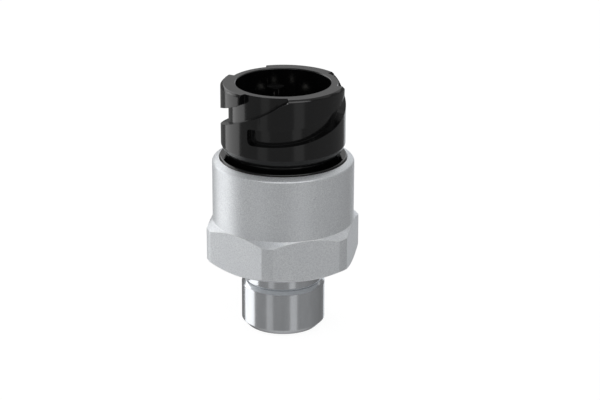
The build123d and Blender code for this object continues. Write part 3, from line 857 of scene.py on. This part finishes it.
# Each lamp: name, azimuth, elevation, distance, width, height, power and, for one, its colour
LAMPS = (
    ("left_softbox", -110, -6, 1.0, 0.8, 1.5, 4.5),
    ("right_rim", 163, -6, 1.2, 0.5, 1.4, 1.5, (0.93, 0.96, 1.0)),
    ("front_left", -38, -16, 1.3, 0.4, 0.9, 0.22),
    ("front_right", 29, -16, 1.3, 0.42, 0.9, 0.33),
    ("left_back", -145, 30, 1.2, 1.2, 0.5, 3.1),
    ("right_back", 150, 32, 1.2, 0.8, 0.4, 0.5),
    ("back_low", 180, 20, 1.2, 0.5, 0.25, 0.14),
    ("overhead", 129, 62, 1.2, 1.0, 1.0, 1.1),
    ("front_fill", 10, 62, 1.2, 1.4, 0.5, 4.4),
)

# The room's light: two values of a direction's share, and the strength at each
ROOM_BACK = (-0.3, 0.6, 0.36, 0.26)
ROOM_TOP = (0.45, 0.95, 1.0, 0.5)
ROOM_BOTTOM = (-0.95, -0.65, 2.0, 1.0)
WHITE_STRENGTH = 1.0

FLOOR_HALF = 3
FLOOR_SHINE = 0.1
FLOOR_TONES = ((0.82, 0.82, 0.82), (0.86, 0.86, 0.86))
FLOOR_GLOW = 1.15
FLOOR_GLOW_SHARE = 0.8


def towards(azimuth, elevation):
    """The direction at an azimuth from the camera's side, to the right, and an elevation."""
    turn = CAMERA_AZIMUTH + azimuth
    return Vector((math.sin(turn) * math.cos(elevation), -math.cos(turn) * math.cos(elevation),
                   math.sin(elevation)))


def aim(obj, place, target):
    """Puts a lamp or the camera at a place and turns it to the target."""
    obj.location = place
    obj.rotation_euler = (target - place).to_track_quat("-Z", "Y").to_euler()


def add_camera():
    camera = bpy.data.objects.new("camera", bpy.data.cameras.new("camera"))
    bpy.context.scene.collection.objects.link(camera)
    camera.data.lens = CAMERA_LENS
    camera.data.sensor_width = CAMERA_FILM
    camera.data.shift_x = CAMERA_SHIFT
    camera.data.clip_start = CAMERA_NEAREST
    aim(camera, LOOK_AT + towards(0, CAMERA_ELEVATION) * CAMERA_DISTANCE, LOOK_AT)
    bpy.context.scene.camera = camera


def add_lamp(name, azimuth, elevation, distance, width, height, power, colour=(1, 1, 1)):
    """A soft box, placed by its angles as seen from the object."""
    data = bpy.data.lights.new(name, "AREA")
    data.shape = "RECTANGLE"
    data.size = width
    data.size_y = height
    data.energy = power
    data.color = colour
    lamp = bpy.data.objects.new(name, data)
    bpy.context.scene.collection.objects.link(lamp)
    aim(lamp, LOOK_AT + towards(math.radians(azimuth), math.radians(elevation)) * distance, LOOK_AT)


def add_floor():
    """A pale floor that the camera sees as white, with the object's faint shadow."""
    bm = bmesh.new()
    bmesh.ops.create_grid(bm, x_segments=1, y_segments=1, size=FLOOR_HALF)
    floor = to_object(bm, "floor")
    f = Finish("pale_floor", roughness=0.9)
    f.shader.inputs["Specular IOR Level"].default_value = FLOOR_SHINE
    f.colour(f.blend(f.noise(2.0), *FLOOR_TONES))
    path = f.add("ShaderNodeLightPath")
    glow = f.add("ShaderNodeEmission", Color=(1, 1, 1, 1), Strength=FLOOR_GLOW)
    seen = f.maths("MAXIMUM", path.outputs["Is Camera Ray"], path.outputs["Is Glossy Ray"])
    mix = f.add("ShaderNodeMixShader")
    f.put(mix.inputs[0], f.maths("MULTIPLY", seen, FLOOR_GLOW_SHARE))
    f.put(mix.inputs[1], f.shader.outputs[0])
    f.put(mix.inputs[2], glow.outputs[0])
    f.put(f.tree.nodes["Material Output"].inputs["Surface"], mix.outputs[0])
    floor.data.materials.append(f.material)
    floor.visible_glossy = False
    floor.visible_shadow = False


def add_world():
    """A white backdrop for the camera, and a soft grey room for the rest of the light."""
    world = bpy.data.worlds.new("studio")
    bpy.context.scene.world = world
    world.use_nodes = True
    tree = world.node_tree
    tree.nodes.clear()
    def add(kind):
        return tree.nodes.new(kind)
    place, path = add("ShaderNodeTexCoord"), add("ShaderNodeLightPath")
    dot, ramp = add("ShaderNodeVectorMath"), add("ShaderNodeMapRange")
    split, fade, glow = (add("ShaderNodeSeparateXYZ"), add("ShaderNodeMapRange"),
                         add("ShaderNodeMapRange"))
    dim, lift = add("ShaderNodeMath"), add("ShaderNodeMath")
    dot.operation = "DOT_PRODUCT"
    dot.inputs[1].default_value = towards(math.pi, 0)
    dim.operation = lift.operation = "MULTIPLY"
    for node, values in ((ramp, ROOM_BACK), (fade, ROOM_TOP), (glow, ROOM_BOTTOM)):
        for socket, value in zip(node.inputs[1:5], values):
            socket.default_value = value
    pick, back, out = add("ShaderNodeMix"), add("ShaderNodeBackground"), add("ShaderNodeOutputWorld")
    pick.inputs[3].default_value = WHITE_STRENGTH
    link = tree.links.new
    link(place.outputs["Generated"], dot.inputs[0])
    link(dot.outputs["Value"], ramp.inputs["Value"])
    link(path.outputs["Is Camera Ray"], pick.inputs["Factor"])
    link(place.outputs["Generated"], split.inputs[0])
    link(split.outputs["Z"], fade.inputs["Value"])
    link(ramp.outputs["Result"], dim.inputs[0])
    link(fade.outputs["Result"], dim.inputs[1])
    link(split.outputs["Z"], glow.inputs["Value"])
    link(dim.outputs[0], lift.inputs[0])
    link(glow.outputs["Result"], lift.inputs[1])
    link(lift.outputs[0], pick.inputs[2])
    link(pick.outputs[0], back.inputs["Strength"])
    link(back.outputs[0], out.inputs["Surface"])


def build_stage():
    add_camera()
    add_world()
    add_floor()
    for lamp in LAMPS:
        add_lamp(*lamp)
    bpy.context.scene.view_settings.view_transform = "Standard"


# The add-on


class SensorSettings(bpy.types.PropertyGroup):
    """All the sizes and colours of the sensor."""

    housing: bpy.props.PointerProperty(type=SensorHousingSizes, name="Housing")
    port: bpy.props.PointerProperty(type=SensorPortSizes, name="Port")
    socket: bpy.props.PointerProperty(type=SensorSocketSizes, name="Socket")


def all_sizes():
    """The sizes and colours that are set in the scene."""
    return bpy.context.scene.pressure_sensor


class BuildHousing(bpy.types.Operator):
    """Turns the hexagon, case and rolled lip from one bar"""

    bl_idname = "pressure_sensor.housing"
    bl_label = "Housing"

    def execute(self, context):
        build_housing(context.scene.pressure_sensor.housing)
        return {"FINISHED"}


class BuildPort(bpy.types.Operator):
    """Turns and polishes the pressure spigot"""

    bl_idname = "pressure_sensor.port"
    bl_label = "Pressure spigot"

    def execute(self, context):
        build_port(context.scene.pressure_sensor.port)
        return {"FINISHED"}


class BuildSocket(bpy.types.Operator):
    """Moulds the plug socket with its bayonet tracks"""

    bl_idname = "pressure_sensor.socket"
    bl_label = "Plug socket"

    def execute(self, context):
        build_socket(context.scene.pressure_sensor.socket)
        return {"FINISHED"}


class BuildContacts(bpy.types.Operator):
    """Turns and plates the contact pins"""

    bl_idname = "pressure_sensor.contacts"
    bl_label = "Contact pins"

    def execute(self, context):
        build_contacts(context.scene.pressure_sensor.socket)
        return {"FINISHED"}


class BuildInnerMetal(bpy.types.Operator):
    """Finishes the metal pieces inside"""

    bl_idname = "pressure_sensor.inner_metal"
    bl_label = "Inner metal"

    def execute(self, context):
        build_inner_metal()
        return {"FINISHED"}


class BuildElectronics(bpy.types.Operator):
    """Finishes the board, its carrier and the seals"""

    bl_idname = "pressure_sensor.electronics"
    bl_label = "Electronics and seals"

    def execute(self, context):
        build_electronics()
        return {"FINISHED"}


class BuildStage(bpy.types.Operator):
    """Sets up the floor, the lamps and the camera"""

    bl_idname = "pressure_sensor.stage"
    bl_label = "Stage"

    def execute(self, context):
        build_stage()
        return {"FINISHED"}


OPERATORS = (BuildHousing, BuildPort, BuildSocket, BuildContacts, BuildInnerMetal,
             BuildElectronics, BuildStage)


class SensorPanel(bpy.types.Panel):
    """Lists the steps that build the sensor."""

    bl_idname = "VIEW3D_PT_pressure_sensor"
    bl_label = "Pressure sensor"
    bl_space_type = "VIEW_3D"
    bl_region_type = "UI"
    bl_category = "Pressure sensor"

    def draw(self, context):
        for step in OPERATORS:
            self.layout.operator(step.bl_idname)
        for group in ("housing", "port", "socket"):
            self.layout.label(text=group.capitalize())
            settings = getattr(context.scene.pressure_sensor, group)
            for name in settings.bl_rna.properties.keys():
                if name not in ("rna_type", "name"):
                    self.layout.prop(settings, name)


CLASSES = (SensorHousingSizes, SensorPortSizes, SensorSocketSizes, SensorSettings, *OPERATORS,
           SensorPanel)


def register():
    for cls in CLASSES:
        bpy.utils.register_class(cls)
    bpy.types.Scene.pressure_sensor = bpy.props.PointerProperty(type=SensorSettings)


def unregister():
    del bpy.types.Scene.pressure_sensor
    for cls in reversed(CLASSES):
        bpy.utils.unregister_class(cls)


def main():
    register()
    bpy.ops.pressure_sensor.housing()
    bpy.ops.pressure_sensor.port()
    bpy.ops.pressure_sensor.socket()
    bpy.ops.pressure_sensor.contacts()
    bpy.ops.pressure_sensor.inner_metal()
    bpy.ops.pressure_sensor.electronics()
    bpy.ops.pressure_sensor.stage()


if __name__ == "__main__":
    main()
